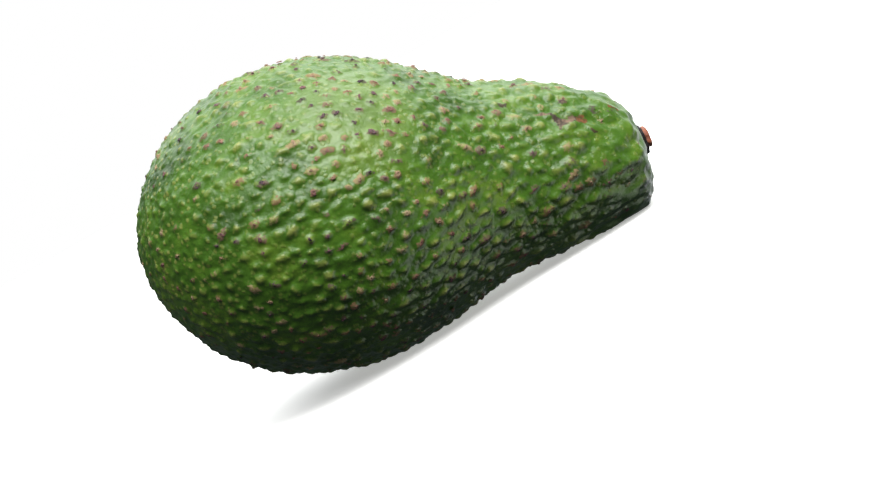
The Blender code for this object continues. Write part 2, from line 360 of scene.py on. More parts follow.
@dataclass
class Nodules:
    """The nodules of the skin, scattered by the same seeded draws as in the part's source.

    slant gives the mean turn away from lengthwise and its spread. cork_chance gives the chance of cork
    on plain skin, and what blossom end, neck and calm stretch add. cork_amount gives the least amount
    and the range above it.
    """

    form: FruitForm
    seed: int = 11
    spacing: float = 0.0029
    trials: int = 60000
    low: float = 0.00026
    high: float = 0.00068
    favours_low: float = 1.3
    smooth_from: float = 0.066
    smooth_full: float = 0.081
    smooth_share: float = 0.88
    stem_rings: tuple = ((0.0041, 14), (0.0059, 16), (0.0082, 17))
    blossom_ring: tuple = (0.0026, 8)
    ring_clearance: float = 0.0023
    look_seed: int = 5
    sets: int = 4
    blossom_zone: tuple = (-0.032, -0.008)
    neck_zone: tuple = (0.046, 0.070)
    calm_along: float = 0.0176
    calm_turn: float = math.radians(-46)
    calm_radius: float = 0.022
    calm_edge: tuple = (0.35, 1.0)
    calm_rise: float = 0.72
    blossom_rise: float = 0.65
    narrowest: float = 0.00108
    wider_with_size: float = 0.00062
    blossom_narrower: float = 0.00026
    neck_wider: float = 0.25
    most_stretch: float = 1.3
    favours_round: float = 1.4
    blossom_rounder: float = 0.5
    slant: tuple = (0.15, 0.35)
    cork_chance: tuple = (0.50, -0.20, -0.26, 0.26)
    cork_amount: tuple = (0.45, 0.55)
    calm_cork: float = 0.3

    def __post_init__(self) -> None:
        """Scatters the nodules and gives each its height, width, slant and corkiness."""
        kept = [self.ring(radius, count, True) for radius, count in self.stem_rings]
        kept = np.vstack([*kept, self.ring(*self.blossom_ring, False)])
        draw = np.random.default_rng(self.seed)
        area = draw.random(self.trials) * self.form.area[-1]
        share = np.interp(area, self.form.area, self.form.share)
        turn = draw.random(self.trials) * math.tau
        places = self.form.points(share, turn)
        taken = np.empty((self.trials, 3))
        chosen: list[int] = []
        for trial, place in enumerate(places):
            if (np.sum((kept - place) ** 2, axis=1) < self.ring_clearance**2).any():
                continue
            near = np.sum((taken[:len(chosen)] - place) ** 2, axis=1)
            if len(chosen) and near.min() < self.spacing**2:
                continue
            taken[len(chosen)] = place
            chosen.append(trial)
        self.size = draw.random(len(chosen))
        self.share, self.turn, self.place = share[chosen], turn[chosen], places[chosen]
        self.outward = self.form.normals(self.share, self.turn)
        along = self.place[:, 0]
        bare = smooth_step(along, self.smooth_from, self.smooth_full)
        height = self.low + (self.high - self.low) * self.size**self.favours_low
        self.height = height * (1.0 - self.smooth_share * bare)
        self.give_looks(np.random.default_rng(self.look_seed), along)
        self.part_sets()

    def ring(self, radius: float, count: int, stem: bool) -> np.ndarray:
        """Finds the plain points on a ring round one end."""
        share = np.full(count, self.form.share_at_radius(radius, stem))
        return self.form.points(share, np.arange(count) * math.tau / count)

    def part_sets(self) -> None:
        """Parts the nodules into sets whose members stand far apart, so that neighbours can merge."""
        self.member = np.zeros(len(self.place))
        for number, place in enumerate(self.place):
            near = np.linalg.norm(self.place[:number] - place, axis=1)
            room = [near[self.member[:number] == k].min(initial=1.0) for k in range(self.sets)]
            self.member[number] = int(np.argmax(room))

    def give_looks(self, draw: np.random.Generator, along: np.ndarray) -> None:
        """Gives each nodule its width, its slant, how far it is drawn out, and its cork.

        Args:
            draw: the source of its random numbers.
            along: each nodule's place along the fruit.
        """
        count = len(along)
        blossom = 1.0 - smooth_step(along, *self.blossom_zone)
        neck = smooth_step(along, *self.neck_zone)
        calm = self.calm_at(self.place)
        self.rise = self.height * (1.0 + (self.calm_rise - 1.0) * calm)
        self.rise *= 1.0 + (self.blossom_rise - 1.0) * blossom
        spread = self.narrowest + self.wider_with_size * self.size - self.blossom_narrower * blossom
        self.spread = spread * (1.0 + self.neck_wider * neck)
        stretch = self.most_stretch * draw.random(count) ** self.favours_round
        self.stretch = 1.0 + stretch * (1.0 - self.blossom_rounder * blossom)
        slant = draw.normal(*self.slant, count)
        side = np.stack([np.zeros(count), -np.cos(self.turn), -np.sin(self.turn)], axis=-1)
        lengthwise = np.array([1.0, 0.0, 0.0]) * np.cos(slant)[:, None]
        self.heading = lengthwise + side * np.sin(slant)[:, None]
        plain, by_blossom, by_neck, by_calm = self.cork_chance
        chance = plain + by_blossom * blossom + by_neck * neck + by_calm * calm
        corky = draw.random(count) < chance
        least, range_above = self.cork_amount
        self.cork = corky * (least + range_above * draw.random(count)) * (1.0 + self.calm_cork * calm)
        self.tone = draw.random(count)

    def calm_at(self, places: np.ndarray) -> np.ndarray:
        """Finds how calm the skin is: 1 in the middle of the stretch where it is nearly flat.

        Args:
            places: places in the fruit's own frame.

        Returns:
            The share at each place.
        """
        share = np.interp([self.calm_along], self.form.along, self.form.share)
        middle = self.form.points(share, np.array([self.calm_turn]))[0]
        away = np.linalg.norm(places - middle, axis=1)
        return 1.0 - smooth_step(away / self.calm_radius, *self.calm_edge)


class Resting:
    """How the fruit's own frame lies in the frame of the part."""

    def __init__(self, form: FruitForm, nodules: Nodules) -> None:
        """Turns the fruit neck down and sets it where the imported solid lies.

        Args:
            form: the plain form.
            nodules: the nodules, whose tips bound the solid.
        """
        turned = Matrix.Rotation(form.lean, 3, "Y")
        self.turned = np.array(turned)
        tips = nodules.place + nodules.outward * nodules.height[:, None]
        low_corner = (tips @ self.turned.T).min(axis=0)
        solid_low = np.array(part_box("fruit")[0])
        self.shift = np.array([*(solid_low - low_corner)[:2], -form.floor])

    def place(self, points: np.ndarray) -> np.ndarray:
        """Moves points from the fruit's own frame to that of the part."""
        return points @ self.turned.T + self.shift

    def direct(self, directions: np.ndarray) -> np.ndarray:
        """Turns directions from the fruit's own frame to that of the part."""
        return directions @ self.turned.T


@dataclass
class Camera:
    """The camera, placed so that the fruit lies in the picture as in the photograph."""

    image: tuple = (896, 504)
    belly_pixel: tuple = (292.0, 221.7)
    axis_rise: float = math.radians(12.45)
    pixels_per_metre: float = 4207.0
    azimuth: float = math.radians(-3.5)
    elevation: float = math.radians(9.0)
    lens: float = 118.0
    sensor: float = 36.0
    near_clip: float = 0.01

    def aim(self, resting: Resting) -> None:
        """Works out where the camera stands and how it is turned.

        Args:
            resting: how the fruit lies.
        """
        level = math.cos(self.elevation)
        towards = Vector((math.sin(self.azimuth) * level, -math.cos(self.azimuth) * level,
                          math.sin(self.elevation)))
        axis = Vector(resting.direct(np.array([1.0, 0.0, 0.0])))
        seen_axis = (axis - towards * axis.dot(towards)).normalized()
        seen_above = towards.cross(seen_axis)
        turn = self.axis_rise
        self.right = seen_axis * math.cos(turn) - seen_above * math.sin(turn)
        self.up = seen_axis * math.sin(turn) + seen_above * math.cos(turn)
        self.back = towards
        self.distance = self.lens / self.sensor * self.image[0] / self.pixels_per_metre
        belly = Vector(resting.place(np.zeros(3)))
        across = (self.image[0] / 2 - self.belly_pixel[0]) / self.pixels_per_metre
        above = (self.belly_pixel[1] - self.image[1] / 2) / self.pixels_per_metre
        self.centre = belly + self.right * across + self.up * above
        self.eye = self.centre + self.back * self.distance

    def ray(self, pixel: tuple[float, float]) -> Vector:
        """Finds the direction in which the camera sees a pixel of the photograph.

        Args:
            pixel: the pixel, from the photograph's upper left corner.

        Returns:
            The direction, away from the camera.
        """
        across = (pixel[0] - self.image[0] / 2) / self.pixels_per_metre
        above = (self.image[1] / 2 - pixel[1]) / self.pixels_per_metre
        return (self.right * across + self.up * above - self.back * self.distance).normalized()

    def build(self) -> None:
        """Makes the camera and gives it to the scene."""
        data = bpy.data.cameras.new("camera")
        data.lens = self.lens
        data.sensor_width = self.sensor
        data.clip_start = self.near_clip
        made = bpy.data.objects.new("camera", data)
        made.matrix_world = Matrix.Translation(self.eye) @ Matrix(
            (self.right, self.up, self.back)).transposed().to_4x4()
        bpy.context.scene.collection.objects.link(made)
        bpy.context.scene.camera = made


@dataclass(frozen=True)
class WaxySkin:
    """Avocado rind, grown: leathery and waxy, which gives a hazy gloss over a deep mottled green.

    ragged gives how far the flecks bend the edge of an attribute. noise_details are those of the mottle,
    the flecks and the grain, and bumps gives the strength and the height of the flecks, the dots and
    the grain. The grain is drawn somewhat coarser than on real rind, so that it shows.
    """

    ground_stops: tuple = ((0.32, "#2d4c0f"), (0.52, "#43691a"), (0.72, "#5f7b22"))
    # Painted sheen: the calm stretch is painted this paler green where the key light's haze falls.
    painted_sheen_green: str = "#6c843e"
    nodule_top: str = "#94984f"
    cork_stops: tuple = (
        (0.0, "#261812"), (0.2, "#503a3c"), (0.45, "#74544a"), (0.7, "#825c42"), (1.0, "#988462"))
    scar_stops: tuple = ((0.05, "#806456"), (0.28, "#4c3836"), (0.52, "#2c1b16"), (0.95, "#7c4520"))
    roughness: float = 0.36
    dry_roughness: float = 0.8
    ior: float = 1.47
    mottle: float = 12 * MILLIMETRE
    fleck: float = 0.8 * MILLIMETRE
    grain: float = 0.35 * MILLIMETRE
    dot_spacing: float = 1.7 * MILLIMETRE
    noise_details: tuple = (5.0, 3.0, 2.0)
    noise_roughness: float = 0.6
    painted_sheen_fade: tuple = (0.0, 1.0, 0.0, 0.45)
    top_fade: tuple = (0.25, 1.0, 0.0, 0.66)
    dot_fade: tuple = (0.12, 0.42, 1.0, 0.0)
    # Pale dots: partly the rind's own pale specks and partly painted small highlights.
    dot_and_glint_paleness: float = 0.25
    blossom_dot_and_glint_paleness: float = 0.35
    fleck_range: tuple = (0.3, 0.7)
    ragged: tuple = (("cork", 0.5), ("tone", 0.18), ("scar", 0.25), ("scar_tone", 0.16))
    cork_fade: tuple = (0.36, 0.90, 0.0, 0.76)
    scar_fade: tuple = (0.22, 0.95, 0.0, 0.9)
    bumps: tuple = ((0.8, 0.15 * MILLIMETRE), (0.7, 0.12 * MILLIMETRE), (0.4, 0.05 * MILLIMETRE))

    def build(self) -> bpy.types.Material:
        """Makes the material.

        Returns:
            The material, which reads the attributes nodule, calm, blossom, cork, tone, scar and scar_tone.
        """
        material, add, shader = new_material("waxy_avocado_rind")
        place = add(COORDINATES).outputs["Object"]
        read = {
            name: add(ATTRIBUTE, attribute_name=name).outputs["Fac"]
            for name in ("nodule", "calm", "blossom", *dict(self.ragged))}
        mottle, flecks, grain = (
            add(NOISE, {
                "Vector": place, "Scale": 1.0 / size, "Detail": detail, "Roughness": self.noise_roughness})
            for size, detail in zip((self.mottle, self.fleck, self.grain), self.noise_details))
        bent = (flecks.outputs["Color"], (self.fleck,) * 3, place)
        bent = add(VECTOR_MATH, bent, operation="MULTIPLY_ADD")
        cells = add("ShaderNodeTexVoronoi", {"Vector": bent, "Scale": 1.0 / self.dot_spacing})
        dots = add(MAP_RANGE, (cells, *self.dot_fade), **SMOOTH)
        # Pale dots, more at the blossom end: partly own pale specks, partly painted small highlights.
        paler_dots_and_glints = (read["blossom"], self.blossom_dot_and_glint_paleness, self.dot_and_glint_paleness)
        paler_dots_and_glints = add(MATH, (add(MATH, paler_dots_and_glints, operation="MULTIPLY_ADD"), dots), operation="MULTIPLY")
        # Painted sheen: how far the calm stretch is painted the paler green.
        calm = add(MAP_RANGE, (read["calm"], *self.painted_sheen_fade), **SMOOTH)
        top = add(MAP_RANGE, (read["nodule"], *self.top_fade), **SMOOTH)
        torn = {}
        for name, reach in self.ragged:
            bend = add(MAP_RANGE, (flecks, *self.fleck_range, -reach, reach), **SMOOTH)
            torn[name] = add(MATH, (bend, read[name]), operation="ADD")
        corky = add(MAP_RANGE, (torn["cork"], *self.cork_fade), **SMOOTH)
        scar = add(MAP_RANGE, (torn["scar"], *self.scar_fade), **SMOOTH)
        nodule_top = linear_colour(self.nodule_top)
        colour = add(RAMP, (mottle,), self.ground_stops)
        # Layers over the ground: the calm stretch's painted sheen, nodule tops, pale dots that are partly
        # painted highlights, cork and scars.
        for share, layer in (
                (calm, linear_colour(self.painted_sheen_green)),
                (top, nodule_top),
                (paler_dots_and_glints, nodule_top),
                (corky, add(RAMP, (torn["tone"],), self.cork_stops)),
                (scar, add(RAMP, (torn["scar_tone"],), self.scar_stops))):
            colour = add(MIX, {"Factor": share, "A": colour, "B": layer}, data_type="RGBA")

        dry = add(MATH, (corky, scar), operation="MAXIMUM")
        roughness = add(MAP_RANGE, (dry, 0.0, 1.0, self.roughness, self.dry_roughness), **SMOOTH)
        normal = {}
        for height, (strength, distance) in zip((flecks, dots, grain), self.bumps):
            bump = {"Strength": strength, "Distance": distance, "Height": height, **normal}
            normal = {"Normal": add(BUMP, bump)}
        join_inputs(shader, {
            "Base Color": colour, "Roughness": roughness, "IOR": self.ior, **normal})
        return material


@dataclass(frozen=True)
class TipCork:
    """Lenticel cork, weathered dry: a matt crumb, brown to nearly black, with its pit darkened by painted
    shade.
    """

    stops: tuple = ((0.0, "#1a120f"), (0.13, "#58424a"), (0.5, "#7a5244"), (1.0, "#9c8a68"))
    # Painted shade: the colour that darkens the crumb's pit.
    pit: str = "#1a120f"
    roughness: float = 0.78
    crumb: float = 0.4 * MILLIMETRE
    detail: float = 2.0
    tone_fade: tuple = (0.3, 0.7, -0.22, 0.22)
    pit_shade_fade: tuple = (0.4, 0.6, 0.2, 1.0)

    def build(self) -> bpy.types.Material:
        """Makes the material.

        Returns:
            The material, which reads the attributes tone and pit.
        """
        material, add, shader = new_material("weathered_lenticel_cork")
        tone, pit = (add(ATTRIBUTE, attribute_name=name).outputs["Fac"] for name in ("tone", "pit"))
        place = add(COORDINATES).outputs["Object"]
        crumbs = add(NOISE, {"Vector": place, "Scale": 1.0 / self.crumb, "Detail": self.detail})
        tone = add(MATH, (add(MAP_RANGE, (crumbs, *self.tone_fade)), tone), operation="ADD")
        # Painted shade: the pit attribute darkens the pit towards the pit colour.
        pit = add(MATH, (add(MAP_RANGE, (crumbs, *self.pit_shade_fade)), pit), operation="MULTIPLY")
        colours = {"Factor": pit, "A": add(RAMP, (tone,), self.stops), "B": linear_colour(self.pit)}
        colour = add(MIX, colours, data_type="RGBA")
        join_inputs(shader, {"Base Color": colour, "Roughness": self.roughness})
        return material


@dataclass(frozen=True)
class StubCork:
    """Stalk tissue, dried and broken off: crumbly, fibrous and matt, orange-brown to dark."""

    stops: tuple = ((0.28, "#2a1612"), (0.42, "#8c4630"), (0.66, "#b87450"))
    pinkish: str = "#94685a"
    roughness: float = 0.8
    crumb: float = 0.5 * MILLIMETRE
    detail: float = 4.0
    crumb_roughness: float = 0.65
    patch: float = 2.5 * MILLIMETRE
    patch_fade: tuple = (0.42, 0.60, 0.0, 0.7)
    bump: float = 0.8
    bump_height: float = 0.2 * MILLIMETRE

    def build(self) -> bpy.types.Material:
        """Makes the material.

        Returns:
            The material.
        """
        material, add, shader = new_material("dried_stalk_cork")
        place = add(COORDINATES).outputs["Object"]
        crumbs = add(NOISE, {
            "Vector": place, "Scale": 1.0 / self.crumb, "Detail": self.detail,
            "Roughness": self.crumb_roughness})
        patches = add(NOISE, {"Vector": place, "Scale": 1.0 / self.patch})
        patches = add(MAP_RANGE, (patches, *self.patch_fade))
        colours = {
            "Factor": patches, "A": add(RAMP, (crumbs,), self.stops), "B": linear_colour(self.pinkish)}
        bump = {"Strength": self.bump, "Distance": self.bump_height, "Height": crumbs}
        join_inputs(shader, {
            "Base Color": add(MIX, colours, data_type="RGBA"), "Roughness": self.roughness,
            "Normal": add(BUMP, bump)})
        return material


@dataclass(frozen=True)
class CollarRind:
    """The collar round the stalk's base: nearly black, with a dull gloss."""

    stops: tuple = ((0.45, "#060404"), (0.70, "#24160f"))
    roughness: float = 0.72
    crumb: float = 0.7 * MILLIMETRE
    detail: float = 3.0
    bump: float = 0.7
    bump_height: float = 0.15 * MILLIMETRE

    def build(self) -> bpy.types.Material:
        """Makes the material.

        Returns:
            The material.
        """
        material, add, shader = new_material("near_black_collar")
        place = add(COORDINATES).outputs["Object"]
        crumbs = add(NOISE, {"Vector": place, "Scale": 1.0 / self.crumb, "Detail": self.detail})
        bump = {"Strength": self.bump, "Distance": self.bump_height, "Height": crumbs}
        join_inputs(shader, {
            "Base Color": add(RAMP, (crumbs,), self.stops), "Roughness": self.roughness,
            "Normal": add(BUMP, bump)})
        return material


@dataclass(frozen=True)
class PaleFloor:
    """Opal acrylic of a light table, lit from below: matt and white, with a faint soft shadow."""

    white: str = "#f2f2f0"
    roughness: float = 0.9
    glow: float = 0.45

    def build(self) -> bpy.types.Material:
        """Makes the material.

        Returns:
            The material.
        """
        material, _, shader = new_material("lit_opal_acrylic")
        white = linear_colour(self.white)
        join_inputs(shader, {
            "Base Color": white, "Roughness": self.roughness, "Emission Color": white,
            "Emission Strength": self.glow})
        return material


class ScarMark(Enum):
    """Marks on the skin: the pixels of a middle line in the photograph, a width and a tone.

    Widths are in millimetres. Tone 0 is a pinkish tan, 0.3 a greyish purple, 0.5 dark brown and 1 an
    orange-brown.
    """

    STAR_HEART = (((558, 121), (565, 123)), 1.9, 0.27)
    STAR_STREAK = (((562, 122), (551, 114)), 1.4, 0.42)
    STAR_TAIL = (((551, 114), (543, 113), (536, 114)), 0.9, 0.1)
    STAR_RIGHT = (((562, 122), (568, 121), (574, 118)), 1.5, 0.06)
    STAR_SPOT = (((577, 119), (583, 120)), 1.9, 0.76)
    STAR_FOOT = (((562, 122), (560, 128)), 1.1, 0.3)
    SHOULDER_STREAK = (((608, 107), (617, 110)), 0.9, 0.84)
    NECK_SPOT = (((592, 131), (596, 132)), 1.1, 0.6)
    UPPER_SPOT = (((560, 102), (564, 102)), 1.2, 0.3)
    SADDLE_SPOT = (((500, 106), (504, 106)), 1.4, 0.5)


class NeckCrest(Enum):
    """Soft crests of the neck: the pixels of a middle line in the photograph and a width in millimetres."""

    SHOULDER = (((592, 101), (608, 105), (621, 111), (627, 117), (629, 125), (631, 134)), 2.6)
    FLANK = (((637, 159), (622, 168), (600, 181)), 3.0)
    KNEE = (((596, 142), (610, 147), (618, 158)), 2.6)


def mesh_object(name: str, points: np.ndarray, faces: list) -> bpy.types.Object:
    """Makes a smooth mesh object at the origin.

    Args:
        name: its name.
        points: its points, in the frame of the part.
        faces: its faces.

    Returns:
        The object, linked to the scene.
    """
    mesh = bpy.data.meshes.new(name)
    mesh.from_pydata([tuple(point) for point in points], [], faces)
    mesh.shade_smooth()
    made = bpy.data.objects.new(name, mesh)
    bpy.context.scene.collection.objects.link(made)
    return made


def give_attribute(mesh: bpy.types.Mesh, name: str, values: np.ndarray) -> None:
    """Stores one number or vector for each point.

    Args:
        mesh: the mesh that gets it.
        name: the attribute's name.
        values: one row for each point.
    """
    vector = values.ndim == 2
    attribute = mesh.attributes.new(name, "FLOAT_VECTOR" if vector else "FLOAT", "POINT")
    key = "vector" if vector else "value"
    attribute.data.foreach_set(key, np.ascontiguousarray(values, np.float32).ravel())


def apply_tree(holder: bpy.types.Object, tree: Any, values: dict, name: str) -> bpy.types.Object:
    """Runs a geometry tree on an object and keeps the result as a plain mesh.

    Args:
        holder: the object that carries the tree.
        tree: the geometry tree.
        values: the tree's input values, by name.
        name: the finished piece's name.

    Returns:
        The piece. The holder is removed.
    """
    modifier = holder.modifiers.new("tree", "NODES")
    modifier.node_group = tree
    for socket in tree.interface.items_tree:
        if socket.in_out == "INPUT" and socket.name in values:
            modifier[socket.identifier] = values[socket.name]
    bpy.context.view_layer.update()
    seen = holder.evaluated_get(bpy.context.evaluated_depsgraph_get())
    mesh = bpy.data.meshes.new_from_object(seen)
    mesh.name = name
    made = bpy.data.objects.new(name, mesh)
    bpy.context.scene.collection.objects.link(made)
    bpy.data.objects.remove(holder)
    return made


def new_tree(name: str, values: dict[str, Any]) -> tuple[Any, Callable, Any]:
    """Starts a geometry tree with one geometry output and an input for each value.

    Args:
        name: the tree's name.
        values: the values that its inputs will take, by name.

    Returns:
        The tree, a function that adds a node to it, and what its inputs give.
    """
    tree = bpy.data.node_groups.new(name, "GeometryNodeTree")
    tree.is_modifier = True
    for in_out in ("OUTPUT", "INPUT"):
        tree.interface.new_socket("Geometry", in_out=in_out, socket_type="NodeSocketGeometry")
    for socket, value in values.items():
        tree.interface.new_socket(socket, in_out="INPUT", socket_type=SOCKET_TYPES[type(value)])
    return tree, partial(add_node, tree), add_node(tree, "NodeGroupInput").outputs


def named_values(piece: Any, sizes: tuple[str, ...]) -> dict[str, Any]:
    """Reads some of a piece's sizes as values for a tree's inputs.

    Args:
        piece: the piece.
        sizes: the names of its fields.

    Returns:
        Each size, by its field's name in plain words with capitals.
    """
    return {size.replace("_", " ").title(): getattr(piece, size) for size in sizes}


@dataclass
class Skin:
    """The fruit's skin: a fine mesh of the form, with its nodules and small grains raised.

    ridge_left gives what is left of the ridges on the calm stretch and at the blossom end. blossom_rim
    gives where the rim of the scar at the blossom end is, its width and its height, and blossom_pit the
    pit's width and depth, as shares of the scar's radius and of the crests' height.
    """

    form: FruitForm
    nodules: Nodules
    resting: Resting
    camera: Camera
    point_spacing: float = 0.53 * MILLIMETRE
    valley_depth: float = 0.26 * MILLIMETRE
    merge: float = 0.16 * MILLIMETRE
    waver: float = 1.5 * MILLIMETRE
    waver_size: float = 1.9 * MILLIMETRE
    ridge_height: float = 1.0 * MILLIMETRE
    ridge_pitch: float = 2.6 * MILLIMETRE
    ridge_draw: float = 0.30
    ridge_twist: float = 7.0
    swell_height: float = 2.2 * MILLIMETRE
    swell_pitch: float = 5.0 * MILLIMETRE
    grain_spacing: float = 1.2 * MILLIMETRE
    grain_height: float = 0.36 * MILLIMETRE
    grain_seed: int = 3
    scar_height: float = 0.20 * MILLIMETRE
    crest_height: float = 0.36 * MILLIMETRE
    tip_reach: float = 0.60
    waver_detail: float = 2.5
    member_slack: float = 0.1
    dome_fade: tuple = (0.0, 1.12, 1.0, 0.0)
    tip_fade: tuple = (0.7, 1.3, 1.0, 0.0)
    ridge_detail: float = 1.5
    ridge_roughness: float = 0.45
    ridge_left: tuple = (0.25, 0.6)
    swell_detail: float = 1.0
    swell_fade: tuple = (0.048, 0.070, 0.2, 1.0)
    grain_density: float = 900000.0
    grain_fade: tuple = (0.0, 0.55, 1.0, 0.0)
    grain_on_nodule: tuple = (0.1, 0.6, 1.0, 0.25)
    grain_on_calm: tuple = (0.0, 1.0, 1.0, 0.4)
    grain_paleness: float = 0.8
    bare_left: float = 0.42
    scar_uneven: tuple = (-0.06 * MILLIMETRE, 0.06 * MILLIMETRE, 0.3, 1.0)
    ragged_size: float = 0.8 * MILLIMETRE
    ragged_share: float = 0.8
    ragged_edge: tuple = (0.6, 1.35)
    blossom_scar: float = 2.1 * MILLIMETRE
    blossom_fill: float = 0.8
    blossom_tone: float = 0.35
    blossom_rim: tuple = (0.9, 0.25, 0.8)
    blossom_pit: tuple = (0.3, 1.6)

    def base_mesh(self) -> bpy.types.Object:
        """Makes the plain form as rings of points, each joined to the next by triangles.

        Returns:
            The object.
        """
        rows = self.form.girth_rows(self.point_spacing)
        counts = [count for _, count in rows]
        angles = [
            (np.arange(count) + 0.5 * (row % 2)) * math.tau / count for row, count in enumerate(counts)]
        shares = np.concatenate([[0.0], np.repeat([share for share, _ in rows], counts), [1.0]])
        turns = np.concatenate([[0.0], *angles, [0.0]])
        starts = np.cumsum([1, *counts]).tolist()
        first, last = counts[0], counts[-1]
        faces = [(0, 1 + k, 1 + (k + 1) % first) for k in range(first)]
        for row in range(len(rows) - 1):
            faces += self.join_rings(starts[row], angles[row], starts[row + 1], angles[row + 1])
        top, ring = starts[-1], starts[-2]
        faces += [(top, ring + (k + 1) % last, ring + k) for k in range(last)]
        grown = self.form.points(shares, turns)
        made = mesh_object("skin_form", self.resting.place(grown), faces)
        give_attribute(made.data, "grown", grown)
        give_attribute(made.data, "calm", self.nodules.calm_at(grown))
        give_attribute(made.data, "blossom", 1.0 - smooth_step(grown[:, 0], *self.nodules.blossom_zone))
        return made

    @staticmethod
    def join_rings(start: int, turn: np.ndarray, after: int, later: np.ndarray) -> list:
        """Joins two rings of points that differ in number.

        Args:
            start: the first ring's first point.
            turn: the turns of its points.
            after: the second ring's first point.
            later: the turns of its points.

        Returns:
            The triangles between them.
        """
        faces = []
        near = far = 0
        while near < len(turn) or far < len(later):
            next_near = turn[near + 1] if near + 1 < len(turn) else turn[0] + math.tau
            next_far = later[far + 1] if far + 1 < len(later) else later[0] + math.tau
            here, there = start + near % len(turn), after + far % len(later)
            if far >= len(later) or (near < len(turn) and next_near <= next_far):
                near += 1
                faces.append((here, there, start + near % len(turn)))
            else:
                far += 1
                faces.append((here, there, after + far % len(later)))
        return faces

    def nodule_points(self) -> bpy.types.Object:
        """Makes a cloud of one point for each nodule, with what the trees read of it.

        Returns:
            The cloud.
        """
        nodules = self.nodules
        cloud = mesh_object("nodule_points", self.resting.place(nodules.place), [])
        for name in ("rise", "spread", "stretch", "cork", "tone", "member"):
            give_attribute(cloud.data, name, getattr(nodules, name))
        give_attribute(cloud.data, "heading", self.resting.direct(nodules.heading))
        give_attribute(cloud.data, "outward", self.resting.direct(nodules.outward))
        return cloud

    def from_line(self, tree: BVHTree, places: np.ndarray, path: tuple) -> np.ndarray:
        """Finds how far each point is from a line that is seen at pixels of the photograph.

        Args:
            tree: the plain skin, for the rays from the camera.
            places: the skin's points.
            path: the line's pixels.

        Returns:
            Each point's distance from the line.
        """
        ends = [np.array(tree.ray_cast(self.camera.eye, self.camera.ray(pixel))[0]) for pixel in path]
        away = np.full(len(places), np.inf)
        for start, end in zip(ends, ends[1:]):
            run = end - start
            share = np.clip((places - start) @ run / (run @ run), 0.0, 1.0)
            away = np.minimum(away, np.linalg.norm(places - start - share[:, None] * run, axis=1))
        return away

    def torn(self, places: np.ndarray, away: np.ndarray, half: float) -> np.ndarray:
        """Fills a shape that has a ragged edge.

        Args:
            places: the skin's points.
            away: each point's distance from the shape's middle.
            half: the shape's half width.

        Returns:
            How far each point is in the shape, up to 1.
        """
        ragged = np.array([
            noise.noise(Vector(place) / self.ragged_size) if reach < 2 * half else 0.0
            for place, reach in zip(places, away)])
        return 1.0 - smooth_step(away / (half * (1.0 + self.ragged_share * ragged)), *self.ragged_edge)

    def mark_places(self, skin: bpy.types.Object) -> None:
        """Marks the scars and crests where the camera sees them, and the scar at the blossom end.

        Args:
            skin: the plain skin.
        """
        tree = BVHTree.FromObject(skin, bpy.context.evaluated_depsgraph_get())
        places = np.empty(len(skin.data.vertices) * 3)
        skin.data.vertices.foreach_get("co", places)
        places = places.reshape(-1, 3)
        from_tip = np.linalg.norm(places - places[0], axis=1)
        marks = [
            (self.from_line(tree, places, path), width * MILLIMETRE / 2, shade)
            for path, width, shade in (mark.value for mark in ScarMark)]
        marks.append((from_tip, self.blossom_scar * self.blossom_fill, self.blossom_tone))
        scar, tone, crest = np.zeros((3, len(places)))
        for away, half, shade in marks:
            mark = self.torn(places, away, half)
            tone = np.where(mark > scar, shade, tone)
            scar = np.maximum(scar, mark)
        for path, width in (line.value for line in NeckCrest):
            away = self.from_line(tree, places, path) / (width * MILLIMETRE / 2)
            crest = np.maximum(crest, 1.0 - smooth_step(away, 0.0, 1.0))
        rim_at, rim_width, rim_height = self.blossom_rim
        pit_width, pit_depth = self.blossom_pit
        rim = (from_tip / self.blossom_scar - rim_at) / rim_width
        pit = from_tip / self.blossom_scar / pit_width
        crest += rim_height * np.exp(-rim**2) - pit_depth * np.exp(-pit**2)
        for name, values in (("scar", scar), ("scar_tone", tone), ("crest", crest)):
            give_attribute(skin.data, name, values)

    def raise_set(self, add: Callable, given: Any, points: Any, moved: Any, depth: Any) -> tuple[Any, ...]:
        """Adds the nodes that raise one set of nodules.

        Args:
            add: adds a node to the tree.
            given: what the tree's inputs give.
            points: the set's points.
            moved: the places of the skin after their waver.
            depth: how deep the valleys between nodules are.

        Returns:
            How far it raises each place, and the nodule's share, cork and tone there.
        """
        nearest = add("GeometryNodeSampleNearest", {"Geometry": points, "Sample Position": moved})
        vector = {"data_type": "FLOAT_VECTOR"}
        middle, heading = (
            add(SAMPLE, {"Geometry": points, "Value": value, "Index": nearest}, **vector)
            for value in (add("GeometryNodeInputPosition"), add(NAMED, ("heading",), **vector)))
        stretch, spread, height, cork, tone = (
            add(SAMPLE, {"Geometry": points, "Value": add(NAMED, (name,)), "Index": nearest})
            for name in ("stretch", "spread", "rise", "cork", "tone"))
        offset = add(VECTOR_MATH, (moved, middle), operation="SUBTRACT")
        along = add(VECTOR_MATH, (offset, heading), operation="DOT_PRODUCT")
        far = add(VECTOR_MATH, (offset, offset), operation="DOT_PRODUCT")
        along = add(MATH, (along, along), operation="MULTIPLY")
        drawn = add(MATH, (1.0, add(MATH, (stretch, -2.0), operation="POWER")), operation="SUBTRACT")
        spared = add(MATH, (along, drawn), operation="MULTIPLY")
        for operation, second in (
                ("SUBTRACT", spared), ("MAXIMUM", 0.0), ("SQRT", 0.0), ("DIVIDE", spread)):
            far = add(MATH, (far, second), operation=operation)
        dome = add(MAP_RANGE, (far, *self.dome_fade), **SMOOTH)
        raised = add(MATH, (add(MATH, (height, depth), operation="ADD"), dome), operation="MULTIPLY")
        share = add(MATH, (height, self.nodules.high), operation="DIVIDE")
        share = add(MATH, (dome, share), operation="MULTIPLY")
        tip = add(MATH, (far, given["Tip Reach"]), operation="DIVIDE")
        tip = add(MAP_RANGE, (tip, *self.tip_fade), **SMOOTH)
        return raised, share, add(MATH, (tip, cork), operation="MULTIPLY"), tone

